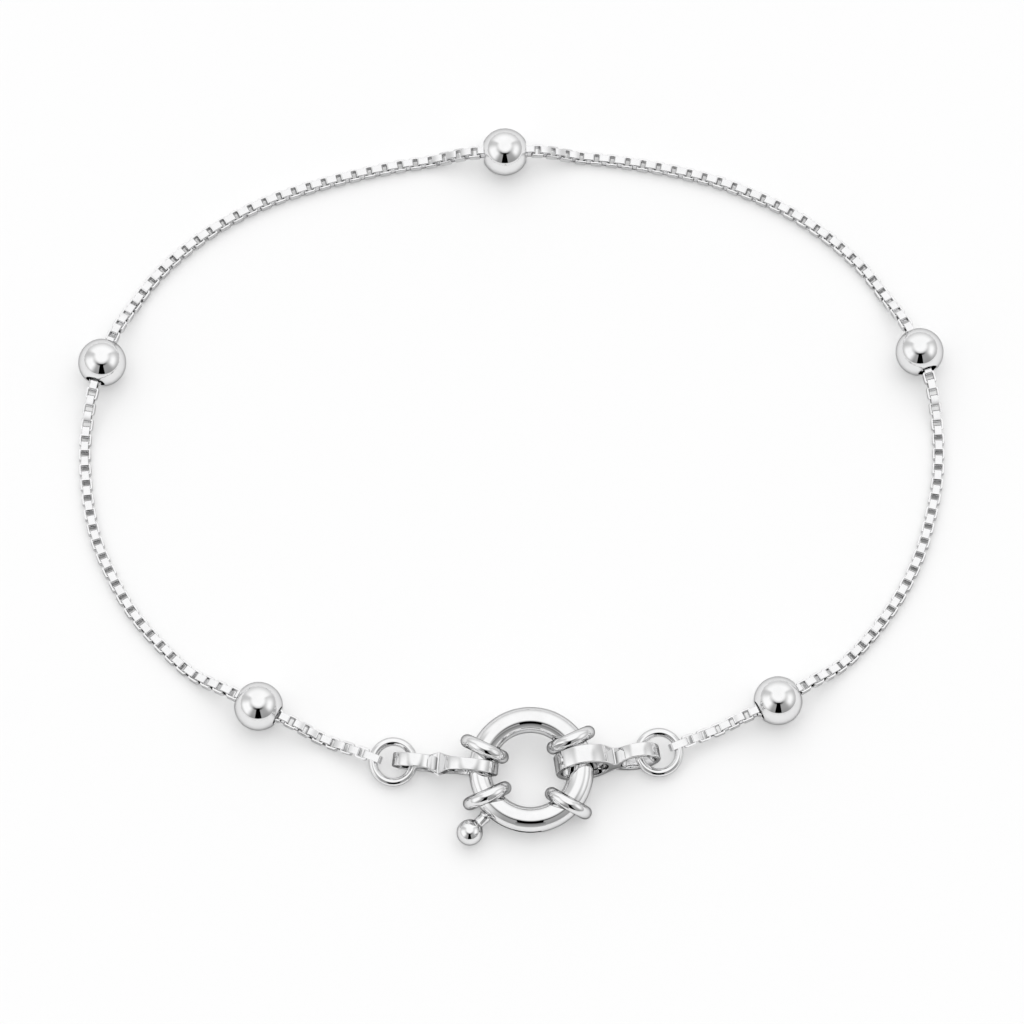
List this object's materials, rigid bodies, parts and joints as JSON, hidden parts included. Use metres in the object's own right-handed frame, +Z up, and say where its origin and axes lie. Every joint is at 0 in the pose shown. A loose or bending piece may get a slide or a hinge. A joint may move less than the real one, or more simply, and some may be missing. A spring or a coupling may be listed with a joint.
{
  "type": "station chain bracelet",
  "caption": "Fine box chain bracelet with round stations, closed by a round spring ring clasp on figure-eight connectors.",
  "frame": {"origin": "on the surface that the bracelet lies on, under the middle of its outline in plan", "axes": "+Z up from the surface, +X from the left station to the right one, +Y away from the clasp"},
  "size_m": [0.072, 0.0628, 0.0049],
  "materials": {
    "chain": "polished silver, diamond-cut flats",
    "bead": "mirror polished silver",
    "jump_ring": "polished silver wire",
    "connector": "polished cast silver",
    "clasp": "mirror polished silver"
  },
  "bodies": {
    "bracelet": {"chain_left": "chain", "chain_right": "chain", "bead_1": "bead", "bead_2": "bead", "bead_3": "bead", "bead_4": "bead", "bead_5": "bead", "jump_ring_left": "jump_ring", "jump_ring_right": "jump_ring", "connector_left": "connector", "connector_right": "connector", "clasp_body": "clasp"},
    "bow": {"clasp_bow": "clasp"}
  },
  "joints": [
    {"name": "bow_slide", "type": "hinge", "parent": "bracelet", "child": "bow", "pos_m": [0.00158, -0.02531, 0.00232], "axis": [0, -0.1736, 0.9848], "range_deg": [0, 50], "stiffness_Nm_per_rad": 0.0002, "springref_deg": -5.73}
  ]
}
